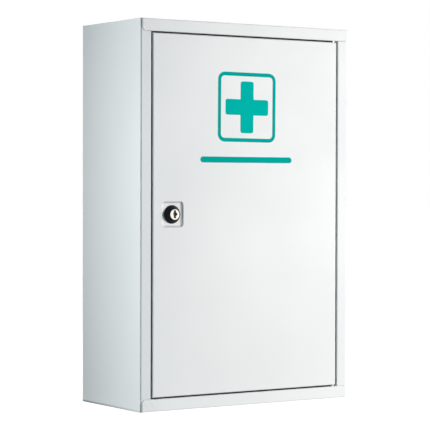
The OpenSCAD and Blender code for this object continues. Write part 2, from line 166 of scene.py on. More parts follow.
def split(tree, vector):
    return put(tree, "SeparateXYZ", {0: vector}).outputs


def ramp(tree, value, low, high, first=0.0, last=1.0, soft=False):  # first up to low, last beyond high
    feeds = {"Value": value, "From Min": low, "From Max": high, "To Min": first, "To Max": last}
    return put(tree, "MapRange", feeds, interpolation_type="SMOOTHSTEP" if soft else "LINEAR").outputs[0]


def blendColour(tree, factor, first, second, blend="MIX"):
    feeds = {0: factor, 6: first, 7: second}
    return put(tree, "Mix", feeds, data_type="RGBA", blend_type=blend).outputs[2]


def seenDirectly(tree):  # 1 for rays that look straight at a backdrop or see it in a mirror or glass
    path = put(tree, "LightPath")
    mirrored = calc(tree, "MAXIMUM", path.outputs["Is Glossy Ray"], path.outputs["Is Transmission Ray"])
    return calc(tree, "MAXIMUM", path.outputs["Is Camera Ray"], mirrored)


def dressWorld(plan):
    world = bpy.data.worlds.new("studioRoom")
    bpy.context.scene.world = world
    world.use_nodes = True
    tree = world.node_tree
    tree.nodes.clear()
    way = put(tree, "TexCoord").outputs["Generated"]
    turned = put(tree, "VectorMath", {0: way, 1: plan["darkCorner"]}, operation="DOT_PRODUCT")
    level = ramp(tree, turned.outputs["Value"], *plan["cornerEdge"], plan["skyFill"], plan["darkFill"],
                 soft=True)
    leftward = calc(tree, "MULTIPLY", split(tree, way)[0], -1.0, clamp=True)
    tint = blendColour(tree, leftward, plan["skyTint"], plan["leftTint"])
    fill = put(tree, "Background", {"Color": tint, "Strength": level})
    white = put(tree, "Background", {"Color": (1, 1, 1, 1), "Strength": 1.0})
    either = put(tree, "MixShader", {0: seenDirectly(tree), 1: fill.outputs[0], 2: white.outputs[0]})
    put(tree, "OutputWorld", {"Surface": either.outputs[0]})


def layFloor(plan):
    half = plan["floorSize"] / 2
    mesh = bpy.data.meshes.new("studioFloor")
    corners = [(-half, -half, 0), (half, -half, 0), (half, half, 0), (-half, half, 0)]
    mesh.from_pydata(corners, [], [(0, 1, 2, 3)])
    floor = bpy.data.objects.new("studioFloor", mesh)
    bpy.context.scene.collection.objects.link(floor)
    material = bpy.data.materials.new("paleFloor")
    material.use_nodes = True
    tree = material.node_tree
    tree.nodes.clear()
    part = split(tree, put(tree, "TexCoord").outputs["Object"])
    aside = calc(tree, "SUBTRACT", calc(tree, "ABSOLUTE", part[0]), plan["baseHalf"][0])
    fromMiddle = calc(tree, "ABSOLUTE", calc(tree, "SUBTRACT", part[1], plan["baseMiddle"]))
    ahead = calc(tree, "SUBTRACT", fromMiddle, plan["baseHalf"][1])
    bounce = plan["floorBounce"]
    level = ramp(tree, calc(tree, "MAXIMUM", aside, ahead), 0.0, plan["baseReach"],
                 bounce * (1 + plan["baseLift"]), bounce, soft=True)
    leftShare = ramp(tree, part[0], *plan["floorDrift"], 1.0, 0.0, soft=True)
    tint = blendColour(tree, leftShare, plan["floorTint"], plan["floorLeftTint"])
    back = put(tree, "Emission", {"Color": tint, "Strength": level})
    shade = put(tree, "BsdfDiffuse", {"Color": (plan["floorShade"],) * 3 + (1,)})
    glow = put(tree, "Emission", {"Color": (1, 1, 1, 1), "Strength": plan["floorGlow"]})
    seen = put(tree, "AddShader", {0: shade.outputs[0], 1: glow.outputs[0]})
    either = put(tree, "MixShader", {0: seenDirectly(tree), 1: back.outputs[0], 2: seen.outputs[0]})
    below = put(tree, "BsdfTransparent")
    side = put(tree, "NewGeometry").outputs["Backfacing"]
    whole = put(tree, "MixShader", {0: side, 1: either.outputs[0], 2: below.outputs[0]})
    put(tree, "OutputMaterial", {"Surface": whole.outputs[0]})
    mesh.materials.append(material)


for softbox in softboxes:
    hangSoftbox(softbox)
dressWorld(studio)
layFloor(studio)
bpy.context.scene.view_settings.view_transform = "Standard"
print("studio: %d softboxes, room and floor" % len(softboxes))


# effects that several finishes share

def newGroup(name, takes, gives):
    tree = bpy.data.node_groups.new(name, "ShaderNodeTree")
    for label, kind, value in takes:
        socket = tree.interface.new_socket(label, in_out="INPUT", socket_type="NodeSocket" + kind)
        if value is not None:
            socket.default_value = value
    for label in gives:
        tree.interface.new_socket(label, in_out="OUTPUT", socket_type="NodeSocketFloat")
    return tree, tree.nodes.new("NodeGroupInput").outputs, tree.nodes.new("NodeGroupOutput").inputs


def useGroup(tree, group, feeds):
    return put(tree, "Group", feeds, node_tree=group)


def makeSlowDrift():  # patches where a coat is a shade deeper or glossier
    tree, take, give = newGroup(
        "slowDrift", [("Vector", "Vector", None), ("Patches", "Float", 6.0)], ["Mask"])
    noise = put(tree, "TexNoise", {"Vector": take["Vector"], "Scale": take["Patches"],
                                   "Detail": 3.0, "Roughness": 0.55})
    tree.links.new(ramp(tree, noise.outputs[0], 0.32, 0.68), give["Mask"])
    return tree


def makeOrangePeel():  # the long ripple and the fine pits of a baked powder coat
    tree, take, give = newGroup(
        "orangePeel", [("Vector", "Vector", None), ("Ripples", "Float", 420.0), ("Pits", "Float", 1500.0)],
        ["Height", "Fleck"])
    ripple = put(tree, "TexNoise", {"Vector": take["Vector"], "Scale": take["Ripples"],
                                    "Detail": 1.0, "Roughness": 0.4})
    pits = put(tree, "TexVoronoi", {"Vector": take["Vector"], "Scale": take["Pits"],
                                    "Smoothness": 0.6}, feature="SMOOTH_F1")
    pitShare = 0.22
    pitDepth = product(tree, pits.outputs["Distance"], pitShare)
    tree.links.new(calc(tree, "ADD", ripple.outputs[0], pitDepth), give["Height"])
    tree.links.new(ramp(tree, pits.outputs["Distance"], 0.05, 0.45), give["Fleck"])
    return tree


def makeFoldShadeMask():  # 1 where the sheet turns through a fold, 0 on its flats; it places painted shade on the folds
    tree, take, give = newGroup(
        "foldShadeMask", [("Facing", "Vector", None), ("Vector", "Vector", None), ("Breaks", "Float", 90.0)],
        ["Mask"])
    part = split(tree, take["Facing"])
    pairs = [calc(tree, "ABSOLUTE", product(tree, part[a], part[b])) for a, b in ((0, 1), (1, 2), (0, 2))]
    bend = calc(tree, "ADD", calc(tree, "ADD", pairs[0], pairs[1]), pairs[2])
    strong = calc(tree, "MULTIPLY", bend, 2.0, clamp=True)
    noise = put(tree, "TexNoise", {"Vector": take["Vector"], "Scale": take["Breaks"], "Detail": 2.0})
    breaks = ramp(tree, noise.outputs[0], 0.3, 0.7, 0.8, 1.0)
    tree.links.new(product(tree, strong, breaks), give["Mask"])
    return tree


def makeRunningLines():  # lines that run along one direction, such as grinding or rolling marks
    tree, take, give = newGroup(
        "runningLines", [("Vector", "Vector", None), ("Turn", "Float", 0.0), ("Lines", "Float", 900.0),
                         ("Runs", "Float", 40.0)], ["Mask", "Height"])
    part = split(tree, take["Vector"])
    cosTurn, sinTurn = (calc(tree, word, take["Turn"]) for word in ("COSINE", "SINE"))
    along = calc(tree, "ADD", product(tree, part[0], cosTurn), product(tree, part[2], sinTurn))
    across = calc(tree, "SUBTRACT", product(tree, part[2], cosTurn), product(tree, part[0], sinTurn))
    stretched = put(tree, "CombineXYZ", {0: product(tree, along, take["Runs"]),
                                         1: product(tree, across, take["Lines"]),
                                         2: product(tree, part[1], take["Runs"])})
    noise = put(tree, "TexNoise", {"Vector": stretched.outputs[0], "Scale": 1.0, "Detail": 2.5})
    tree.links.new(ramp(tree, noise.outputs[0], 0.35, 0.65), give["Mask"])
    tree.links.new(noise.outputs[0], give["Height"])
    return tree


def makeSettledDust():  # thin dust on whatever faces up
    tree, take, give = newGroup(
        "settledDust", [("Facing", "Vector", None), ("Vector", "Vector", None), ("Specks", "Float", 700.0)],
        ["Mask"])
    level = ramp(tree, split(tree, take["Facing"])[2], 0.5, 1.0)
    specks = put(tree, "TexNoise", {"Vector": take["Vector"], "Scale": take["Specks"], "Detail": 2.0})
    patch = put(tree, "TexNoise", {"Vector": take["Vector"], "Scale": 9.0, "Detail": 2.0})
    thin = ramp(tree, product(tree, specks.outputs[0], patch.outputs[0]), 0.2, 0.45)
    tree.links.new(product(tree, level, thin), give["Mask"])
    return tree


def makeCreviceShade():  # 1 deep in a narrow gap or a seam, 0 on open sheet; it places painted shade there
    tree, take, give = newGroup(
        "creviceShade", [("Reach", "Float", 0.008), ("Closed", "Float", 0.12), ("Open", "Float", 0.50)],
        ["Mask"])
    shut = put(tree, "AmbientOcclusion", {"Distance": take["Reach"]}, samples=12)
    level = ramp(tree, shut.outputs["AO"], take["Closed"], take["Open"], 1.0, 0.0, soft=True)
    tree.links.new(level, give["Mask"])
    return tree


def makeWeldMarks():  # shallow dimples with a faint rim, where the back sheet was spot welded to the flanges
    tree, take, give = newGroup(
        "weldMarks", [("Vector", "Vector", None), ("Middle", "Float", 0.230), ("Side", "Float", 0.143),
                      ("End", "Float", 0.223), ("Lowest", "Float", 0.026), ("Leftmost", "Float", -0.118),
                      ("Rise", "Float", 0.0408), ("Run", "Float", 0.03933), ("Size", "Float", 0.0023)],
        ["Height", "Mask"])
    part = split(tree, take["Vector"])

    def fromRow(value, row):
        return calc(tree, "SUBTRACT", calc(tree, "ABSOLUTE", value), take[row])

    def nearest(offset, value, first, pitch):  # distance to the closest dimple of one row
        along = calc(tree, "SUBTRACT", value, take[first])
        return reach(tree, offset, calc(tree, "PINGPONG", along, product(tree, take[pitch], 0.5)))

    upright = calc(tree, "SUBTRACT", part[2], take["Middle"])
    sideRow = nearest(fromRow(part[0], "Side"), part[2], "Lowest", "Rise")
    endRow = nearest(fromRow(upright, "End"), part[0], "Leftmost", "Run")
    span = calc(tree, "DIVIDE", calc(tree, "MINIMUM", sideRow, endRow), take["Size"])
    bed, rimMiddle, rimHalf, rimRise = 0.75, 1.15, 0.2, 0.35  # the first three in dimple radii
    dip = ramp(tree, span, bed, 1.0, soft=True)
    fromRim = calc(tree, "ABSOLUTE", calc(tree, "SUBTRACT", span, rimMiddle))
    rim = ramp(tree, fromRim, 0.0, rimHalf, 1.0, 0.0, soft=True)
    tree.links.new(calc(tree, "ADD", dip, product(tree, rim, rimRise)), give["Height"])
    tree.links.new(rim, give["Mask"])
    return tree


slowDrift = makeSlowDrift()
orangePeel = makeOrangePeel()
foldShadeMask = makeFoldShadeMask()
runningLines = makeRunningLines()
settledDust = makeSettledDust()
creviceShade = makeCreviceShade()
weldMarks = makeWeldMarks()
print("shared effects: %d groups" % len(bpy.data.node_groups))


# finishes

def newFinish(name, constants):
    material = bpy.data.materials.new(name)
    material.use_nodes = True
    tree = material.node_tree
    tree.nodes.clear()
    shader = put(tree, "BsdfPrincipled", constants)
    put(tree, "OutputMaterial", {"Surface": shader.outputs[0]})
    return material, tree, shader, put(tree, "TexCoord").outputs


def wireBump(tree, shader, height, depth):
    bump = put(tree, "Bump", {"Height": height, "Distance": depth, "Strength": 1.0})
    tree.links.new(bump.outputs[0], shader.inputs["Normal"])


def spanned(tree, mask, low, high):
    return ramp(tree, mask, 0.0, 1.0, low, high)


whitePaintPlan = {
    "tone": (0.850, 0.864, 0.868, 1),
    "deepTone": (0.832, 0.848, 0.854, 1),
    # painted fold shade, also the tone of weld rims and grinding marks
    "foldShadeAndMarkTint": (0.50, 0.53, 0.57, 1),
    "dustTint": (0.79, 0.79, 0.77, 1),
    "gapShadeTint": (0.012, 0.013, 0.015, 1),
    "seamTint": (0.27, 0.29, 0.33, 1),
    "footShadeTint": (0.16, 0.18, 0.20, 1),
    "stileShadeTint": (0.770, 0.800, 0.815, 1),  # painted shade on the two stiles, as if they leaned a little away from the light
    "gloss": (0.47, 0.55),
    "peelDepth": 0.000010,
    "foldShadeAndGrindToLeft": (-0.150, 0.120),  # painted fold shade is full on the left and faint on the hinge side, and grinding marks fade the same way
    "foldShadeAndGrindLeast": 0.15,
    "shadeFrom": (0.0015, 0.0040),  # heights between which the painted fold and gap shade come in
    "dustShare": 0.10,
    "seamShare": 0.8,
    "dimpleDepth": 4.0,  # of a weld mark, in peel depths
    "dimpleShade": 0.12,
}


def makeWhitePaint(name, foldShadeShare, gapShadeShare, grindShare=0.0, welded=False, drawn=False):
    plan = whitePaintPlan
    material, tree, shader, place = newFinish(name, {"Specular IOR Level": 0.45})
    spot, facing = place["Object"], place["Normal"]
    drift = useGroup(tree, slowDrift, {"Vector": spot, "Patches": 7.0}).outputs[0]
    peel = useGroup(tree, orangePeel, {"Vector": spot}).outputs
    fold = useGroup(tree, foldShadeMask, {"Facing": facing, "Vector": spot}).outputs[0]
    dust = useGroup(tree, settledDust, {"Facing": facing, "Vector": spot}).outputs[0]
    colour = blendColour(tree, drift, plan["tone"], plan["deepTone"])
    part = split(tree, spot)
    foldShadeAndGrindToLeft = ramp(tree, part[0], *plan["foldShadeAndGrindToLeft"], 1.0, plan["foldShadeAndGrindLeast"])
    raised = ramp(tree, part[2], *plan["shadeFrom"])
    height = peel["Height"]
    if welded:
        marks = useGroup(tree, weldMarks, {"Vector": spot}).outputs
        height = calc(tree, "ADD", product(tree, marks["Height"], plan["dimpleDepth"]), height)
        colour = blendColour(tree, product(tree, marks["Mask"], plan["dimpleShade"]), colour, plan["foldShadeAndMarkTint"])
    if drawn:
        easing = calc(tree, "DIVIDE", recessEasing(tree, part, facing, recessPlan), plan["peelDepth"])
        height = calc(tree, "ADD", height, easing)
    if grindShare:
        stile, weld, seam = frontMarks(tree, part, frontPlan)
        # painted shade on the stile faces
        colour = blendColour(tree, stile, colour, plan["stileShadeTint"])
        raised = product(tree, raised, calc(tree, "SUBTRACT", 1.0, weld))
    # painted shade on the folds, darkest on the left
    blendShare = product(tree, fold, foldShadeShare, foldShadeAndGrindToLeft, raised)
    colour = blendColour(tree, blendShare, colour, plan["foldShadeAndMarkTint"])
    colour = blendColour(tree, product(tree, dust, plan["dustShare"]), colour, plan["dustTint"])
    gap = product(tree, useGroup(tree, creviceShade, {}).outputs[0], raised)
    if grindShare:
        grind = useGroup(tree, runningLines, {"Vector": spot, "Turn": -math.pi / 4, "Lines": 520.0,
                                              "Runs": 70.0})
        corner = product(tree, cornerPatch(tree, part, frontPlan), foldShadeAndGrindToLeft)
        tone = product(tree, grind.outputs["Mask"], corner, grindShare)
        colour = blendColour(tree, tone, colour, plan["foldShadeAndMarkTint"])
        height = calc(tree, "ADD", height, product(tree, grind.outputs["Height"], corner))
    # painted shade, nearly black, deep in the door gaps and seams
    colour = blendColour(tree, product(tree, gap, gapShadeShare), colour, plan["gapShadeTint"])
    if grindShare:
        colour = blendColour(tree, product(tree, seam, plan["seamShare"]), colour, plan["seamTint"])
        # painted shadow along the side panels' lower edges
        colour = blendColour(tree, footShade(tree, part, footShadePlan), colour, plan["footShadeTint"])
    tree.links.new(colour, shader.inputs["Base Color"])
    tree.links.new(spanned(tree, product(tree, drift, peel["Fleck"]), *plan["gloss"]),
                   shader.inputs["Roughness"])
    wireBump(tree, shader, height, plan["peelDepth"])
    return material


lockAxis = (-0.1062, 0.2310)  # across and up the door, the recess's middle as well
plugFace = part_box("lock_plug")[0].y
recessPlan = {
    "flat": 0.011,  # half of the recess's floor between its corner arcs
    "corner": 0.002,
    "foot": (-0.0022, 0.0012),  # where the paint's fillet starts and ends, out from the wall's foot
    "lip": (0.0012, 0.0034),
    "endDelay": 0.0019,  # the fillet is tighter at the top and bottom walls
    "facing": (-0.1, -0.5),  # only where the sheet faces forwards
    "rise": 0.0008,
    "drop": 0.0005,
}


def recessEasing(tree, part, facing, plan):  # paint fills the foot of the recess's wall and rounds its lip
    def beyond(value, middle):
        away = calc(tree, "ABSOLUTE", calc(tree, "SUBTRACT", value, middle))
        return calc(tree, "MAXIMUM", calc(tree, "SUBTRACT", away, plan["flat"]), 0.0)

    aside, upright = beyond(part[0], lockAxis[0]), beyond(part[2], lockAxis[1])
    span = reach(tree, aside, upright)
    out = calc(tree, "SUBTRACT", span, plan["corner"])
    endShare = calc(tree, "DIVIDE", product(tree, upright, upright), product(tree, span, span))
    late = calc(tree, "SUBTRACT", out, product(tree, endShare, plan["endDelay"]))
    foot = ramp(tree, late, *plan["foot"], 0.0, plan["rise"], soft=True)
    lip = ramp(tree, out, *plan["lip"], 0.0, plan["drop"], soft=True)
    front = ramp(tree, split(tree, facing)[1], *plan["facing"])
    return product(tree, calc(tree, "SUBTRACT", foot, lip), front)


def within(tree, value, low, high, soft):  # 1 between two limits, easing to 0 over a soft edge
    rise = ramp(tree, value, low - soft, low)
    return product(tree, rise, ramp(tree, value, high, high + soft, 1.0, 0.0))


frontPlan = {
    "middle": 0.230,  # half the height; both ends are alike, so heights below run from here
    "face": (-0.0640, -0.0672),  # depths between which a mark on the front comes up
    "stile": (0.1355, 0.1510, 0.0005),  # two limits and how soft they are
    "stileHeight": (-1.0, 0.2145, 0.0010),  # no lower limit
    "stileShadeSpan": (-0.150, 0.150),  # the painted shade is full on the left stile and light on the right one
    "stileShadeLeast": 0.25,
    "weld": (0.1300, 0.1460, 0.0008),
    "weldHeight": (0.2135, 0.2165, 0.0006),
    "railCorner": (0.1445, 0.2200),  # centre of the rounded rail end
    "railRadius": 0.0040,
    "seamStart": (0.0002, 0.0014),  # how far left of that centre the open seam comes in
    "seamHeight": (0.2160, 0.2215),
    "seamHalf": (0.0003, 0.0012),  # half its width at those two heights
    "seamEdge": (0.8, 1.5),  # where it fades, as a share of that half
    "groundSide": (0.122, 0.134),
    "groundEnd": (0.203, 0.213),
    "groundFace": (-0.0635, -0.0660),
}


def frontMarks(tree, part, plan):  # painted shade on the stile faces, welds under the rails' ends, open seam round the left ones
    sideways = calc(tree, "ABSOLUTE", part[0])
    upright = calc(tree, "ABSOLUTE", calc(tree, "SUBTRACT", part[2], plan["middle"]))
    front = ramp(tree, part[1], *plan["face"])
    stileShadeShare = ramp(tree, part[0], *plan["stileShadeSpan"], 1.0, plan["stileShadeLeast"])
    stile = product(tree, within(tree, sideways, *plan["stile"]), within(tree, upright, *plan["stileHeight"]),
                    stileShadeShare, front)
    weld = product(tree, within(tree, sideways, *plan["weld"]), within(tree, upright, *plan["weldHeight"]))
    beyond = calc(tree, "MAXIMUM", calc(tree, "SUBTRACT", -plan["railCorner"][0], part[0]), 0.0)
    inward = calc(tree, "MAXIMUM", calc(tree, "SUBTRACT", plan["railCorner"][1], upright), 0.0)
    fromEdge = calc(tree, "ABSOLUTE", calc(tree, "SUBTRACT", reach(tree, beyond, inward), plan["railRadius"]))
    off = calc(tree, "DIVIDE", fromEdge, ramp(tree, upright, *plan["seamHeight"], *plan["seamHalf"]))
    line = ramp(tree, off, *plan["seamEdge"], 1.0, 0.0)
    return stile, weld, product(tree, line, ramp(tree, beyond, *plan["seamStart"]), front)


footShadePlan = {
    "edge": (0.0008, 0.0028),  # painted shadow below the first height, none above the second
    "outside": (0.1488, 0.1496),
    "depth": (-0.066, 0.060),
    "share": (0.3, 0.95),  # at the front, and at the wall
}


def footShade(tree, part, plan):  # painted shadow along a side panel's lower edge, darker towards the wall
    low = ramp(tree, part[2], *plan["edge"], 1.0, 0.0)
    outside = ramp(tree, calc(tree, "ABSOLUTE", part[0]), *plan["outside"])
    return product(tree, low, outside, ramp(tree, part[1], *plan["depth"], *plan["share"]))


def cornerPatch(tree, part, plan):  # the front frame's four corners, where the butt welds were ground flush
    upright = calc(tree, "ABSOLUTE", calc(tree, "SUBTRACT", part[2], plan["middle"]))
    nearSide = ramp(tree, calc(tree, "ABSOLUTE", part[0]), *plan["groundSide"])
    nearEnd = ramp(tree, upright, *plan["groundEnd"])
    return product(tree, nearSide, nearEnd, ramp(tree, part[1], *plan["groundFace"]))


lockPaintPlan = {
    "tone": (0.0045, 0.0048, 0.0058, 1),
    "deepTone": (0.0075, 0.0079, 0.0092, 1),
    "dustTint": (0.12, 0.12, 0.115, 1),
    "dustShare": 0.12,
    "gloss": (0.30, 0.42),
    "peelDepth": 0.000012,
}


def makeBlackLockPaint(plan):
    material, tree, shader, place = newFinish("blackLockPaint", {"Specular IOR Level": 0.11})
    spot = place["Object"]
    drift = useGroup(tree, slowDrift, {"Vector": spot, "Patches": 160.0}).outputs[0]
    peel = useGroup(tree, orangePeel, {"Vector": spot, "Ripples": 1600.0, "Pits": 4200.0}).outputs
    dust = useGroup(tree, settledDust, {"Facing": place["Normal"], "Vector": spot,
                                        "Specks": 2400.0}).outputs[0]
    colour = blendColour(tree, drift, plan["tone"], plan["deepTone"])
    colour = blendColour(tree, product(tree, dust, plan["dustShare"]), colour, plan["dustTint"])
    tree.links.new(colour, shader.inputs["Base Color"])
    tree.links.new(spanned(tree, peel["Fleck"], *plan["gloss"]), shader.inputs["Roughness"])
    wireBump(tree, shader, peel["Height"], plan["peelDepth"])
    return material


plugPlan = {
    "slotRound": (0.0052, 0.0054),  # where the slot's shade ends, just inside the plug's barrel
    "slotStart": (0.0001, 0.0007),  # depths behind the plug's face
    "slotEnd": (0.0135, 0.0145),
    "guideDepth": (0.0002, 0.0004),
    "dish": ((0.0001, 0.0004), (0.0026, 0.0025)),  # middle, from the axis, and half its width and height
    "upperEnd": ((-0.0002, 0.0040), (0.0014, 0.0012)),
    "lowerEnd": ((-0.0005, -0.0022), (0.0012, 0.0020)),
    "ovalEdge": (0.75, 1.25),
    # share of the brown dish and of the painted end shade on the plug's face
    "slotFaceShare": 0.9,
    "dishTint": (0.20, 0.165, 0.135, 1),
    "endShadeTint": (0.03, 0.025, 0.022, 1),
}


def slotShade(tree, part, plan):  # 1 inside the key slot, behind the plug's face, where shade is painted dark
    across = calc(tree, "SUBTRACT", part[0], lockAxis[0])
    upright = calc(tree, "SUBTRACT", part[2], lockAxis[1])
    near = ramp(tree, reach(tree, across, upright), *plan["slotRound"], 1.0, 0.0)
    depth = calc(tree, "SUBTRACT", part[1], plugFace)
    behind = ramp(tree, depth, *plan["slotStart"])
    return product(tree, near, behind, ramp(tree, depth, *plan["slotEnd"], 1.0, 0.0))


def keyGuide(tree, part, plan):  # a brown dish round the key slot, and painted shade in dark rounds at each end of it
    def oval(key):
        middle, half = plan[key]
        away = [calc(tree, "SUBTRACT", part[2 * i], lockAxis[i] + middle[i]) for i in (0, 1)]
        shares = [calc(tree, "DIVIDE", away[i], half[i]) for i in (0, 1)]
        square = calc(tree, "ADD", *(product(tree, share, share) for share in shares))
        return ramp(tree, square, *plan["ovalEdge"], 1.0, 0.0)

    front = ramp(tree, calc(tree, "SUBTRACT", part[1], plugFace), *plan["guideDepth"], 1.0, 0.0)
    endShade = calc(tree, "MAXIMUM", oval("upperEnd"), oval("lowerEnd"))
    return product(tree, oval("dish"), front), product(tree, endShade, front)


def makeMetal(name, bright, dull, gloss, lines, depth, slotShadeTint=None):
    material, tree, shader, place = newFinish(name, {"Metallic": 1.0})
    spot = place["Object"]
    drift = useGroup(tree, slowDrift, {"Vector": spot, "Patches": 110.0}).outputs[0]
    marks = useGroup(tree, runningLines, {"Vector": spot, "Turn": 0.5, "Lines": lines, "Runs": lines / 12})
    colour = blendColour(tree, drift, bright, dull)
    if slotShadeTint:
        part = split(tree, spot)
        dish, endShade = keyGuide(tree, part, plugPlan)
        colour = blendColour(tree, product(tree, dish, plugPlan["slotFaceShare"]), colour, plugPlan["dishTint"])
        # painted shade at each end of the key slot
        colour = blendColour(tree, product(tree, endShade, plugPlan["slotFaceShare"]), colour, plugPlan["endShadeTint"])
        # painted shade inside the key slot
        colour = blendColour(tree, slotShade(tree, part, plugPlan), colour, slotShadeTint)
    tree.links.new(colour, shader.inputs["Base Color"])
    blendShare = product(tree, calc(tree, "ADD", drift, marks.outputs["Mask"]), 0.5)
    tree.links.new(spanned(tree, blendShare, *gloss), shader.inputs["Roughness"])
    wireBump(tree, shader, marks.outputs["Height"], depth)
    return material


def makeMoulded(name, tone, deepTone, gloss, ripples, depth, specular):
    material, tree, shader, place = newFinish(name, {"Specular IOR Level": specular})
    spot = place["Object"]
    drift = useGroup(tree, slowDrift, {"Vector": spot, "Patches": 240.0}).outputs[0]
    peel = useGroup(tree, orangePeel, {"Vector": spot, "Ripples": ripples, "Pits": ripples * 3}).outputs
    tree.links.new(blendColour(tree, drift, tone, deepTone), shader.inputs["Base Color"])
    tree.links.new(spanned(tree, peel["Fleck"], *gloss), shader.inputs["Roughness"])
    wireBump(tree, shader, peel["Height"], depth)
    return material


tealInkPlan = {
    "tone": (0.0004, 0.540, 0.478, 1),
    "deepTone": (0.0004, 0.512, 0.455, 1),
    "fleckTint": (0.004, 0.58, 0.52, 1),
    "fleckShare": 0.05,
    "onceAcross": (-0.0345, 0.0325, 0.001),  # the cross, inked in one pass
    "onceUpright": (0.326, 0.393, 0.001),
    "twiceTint": (0.84, 0.84, 0.84, 1),  # the frame and the stripe took a second pass of ink
    "gloss": (0.46, 0.56),
    "meshDepth": 0.000006,
}


def makeTealInk(plan):
    material, tree, shader, place = newFinish("tealInk", {"Specular IOR Level": 0.0})
    spot = place["Object"]
    drift = useGroup(tree, slowDrift, {"Vector": spot, "Patches": 30.0}).outputs[0]
    mesh = useGroup(tree, orangePeel, {"Vector": spot, "Ripples": 700.0, "Pits": 3200.0}).outputs
    colour = blendColour(tree, drift, plan["tone"], plan["deepTone"])
    colour = blendColour(tree, product(tree, mesh["Fleck"], plan["fleckShare"]), colour, plan["fleckTint"])
    part = split(tree, spot)
    once = product(tree, within(tree, part[0], *plan["onceAcross"]),
                   within(tree, part[2], *plan["onceUpright"]))
    colour = blendColour(tree, calc(tree, "SUBTRACT", 1.0, once), colour, plan["twiceTint"], "MULTIPLY")
    tree.links.new(colour, shader.inputs["Base Color"])
    tree.links.new(spanned(tree, mesh["Fleck"], *plan["gloss"]), shader.inputs["Roughness"])
    wireBump(tree, shader, mesh["Height"], plan["meshDepth"])
    return material


whiteCoats = {
    "framePaint": {"foldShadeShare": 0.28, "gapShadeShare": 0.95, "grindShare": 0.16},
    "hingeSidePaint": {"foldShadeShare": 0.28, "gapShadeShare": 0.0, "grindShare": 0.16},
    "doorPaint": {"foldShadeShare": 0.08, "gapShadeShare": 0.95, "drawn": True},
    "insidePaint": {"foldShadeShare": 0.08, "gapShadeShare": 0.40},
    "backPaint": {"foldShadeShare": 0.08, "gapShadeShare": 0.40, "welded": True},
}
metals = {
    "brightNickel": {"bright": (0.76, 0.730, 0.685, 1), "dull": (0.70, 0.670, 0.625, 1),
                     "gloss": (0.09, 0.16), "lines": 2600.0, "depth": 0.000001,
                     "slotShadeTint": (0.020, 0.017, 0.014, 1)},
    # brass darkened well below its own tone: painted shade for the wafers deep in the keyway
    "waferBrassInShade": {"bright": (0.26, 0.18, 0.085, 1), "dull": (0.15, 0.10, 0.050, 1), "gloss": (0.45, 0.60),
                   "lines": 3000.0, "depth": 0.000003},
    "zincPlate": {"bright": (0.66, 0.68, 0.70, 1), "dull": (0.56, 0.57, 0.57, 1), "gloss": (0.26, 0.42),
                  "lines": 1400.0, "depth": 0.000004},
    "pivotSteel": {"bright": (0.88, 0.88, 0.87, 1), "dull": (0.78, 0.78, 0.77, 1), "gloss": (0.18, 0.30),
                   "lines": 2400.0, "depth": 0.000002},
}
mouldings = {
    "nylonWhite": {"tone": (0.88, 0.88, 0.85, 1), "deepTone": (0.83, 0.83, 0.79, 1), "gloss": (0.38, 0.5),
                   "ripples": 900.0, "depth": 0.000008, "specular": 0.4},
    "bumperRubber": {"tone": (0.030, 0.030, 0.032, 1), "deepTone": (0.040, 0.040, 0.041, 1),
                     "gloss": (0.6, 0.75), "ripples": 2000.0, "depth": 0.00002, "specular": 0.3},
}
finishes = {"blackLockPaint": makeBlackLockPaint(lockPaintPlan), "tealInk": makeTealInk(tealInkPlan)}
for maker, kinds in ((makeWhitePaint, whiteCoats), (makeMetal, metals), (makeMoulded, mouldings)):
    for name, values in kinds.items():
        finishes[name] = maker(name, **values)
nodeFinish = {
    "left_side_panel": "framePaint", "right_side_panel": "hingeSidePaint", "top_panel": "framePaint",
    "bottom_panel": "framePaint", "back_panel": "backPaint", "door_panel": "doorPaint",
    "upper_pivot_pin": "pivotSteel", "lower_pivot_pin": "pivotSteel", "pivot_washer": "nylonWhite",
    "upper_bumper": "bumperRubber", "lower_bumper": "bumperRubber", "lock_housing": "blackLockPaint",
    "lock_plug": "brightNickel", "lock_wafers": "waferBrassInShade",
}
for name, node in cadNodes.items():
    if name in nodeFinish:
        finish = nodeFinish[name]
    elif "shelf" in name or "door_stop" in name:
        finish = "insidePaint"
    else:
        finish = "zincPlate"
    node.data.materials.clear()
    node.data.materials.append(finishes[finish])
print("finishes: %d made, %d nodes dressed" % (len(finishes), len(cadNodes)))


# printed cross in a frame, and a plain stripe under it

def newPiece(name, mesh, finish):
    mesh.materials.clear()
    mesh.materials.append(finishes[finish])
    piece = bpy.data.objects.new(name, mesh)
    bpy.context.scene.collection.objects.link(piece)
    return piece


def roundedCorner(centre, radius, startAngle, sweep, steps):
    angles = [math.radians(startAngle + sweep * step / steps) for step in range(steps + 1)]
    return [(centre[0] + radius * math.cos(a), centre[1] + radius * math.sin(a)) for a in angles]


def boxOutline(halfWidth, halfHeight, radius, steps=12):
    outline = []
    for quarter, (sx, sz) in enumerate(((1, 1), (-1, 1), (-1, -1), (1, -1))):
        centre = (sx * (halfWidth - radius), sz * (halfHeight - radius))
        outline += roundedCorner(centre, radius, 90 * quarter, 90, steps)
    return outline


def crossOutline(length, halfBar, radius, nook, steps=6):
    arm = roundedCorner((length - radius, -halfBar + radius), radius, -90, 90, steps)
    arm += roundedCorner((length - radius, halfBar - radius), radius, 0, 90, steps)
    arm += roundedCorner((halfBar + nook, halfBar + nook), nook, -90, -90, steps)
    outline = []
    for c, s in ((1, 0), (0, 1), (-1, 0), (0, -1)):
        outline += [(x * c - z * s, x * s + z * c) for x, z in arm]
    return outline


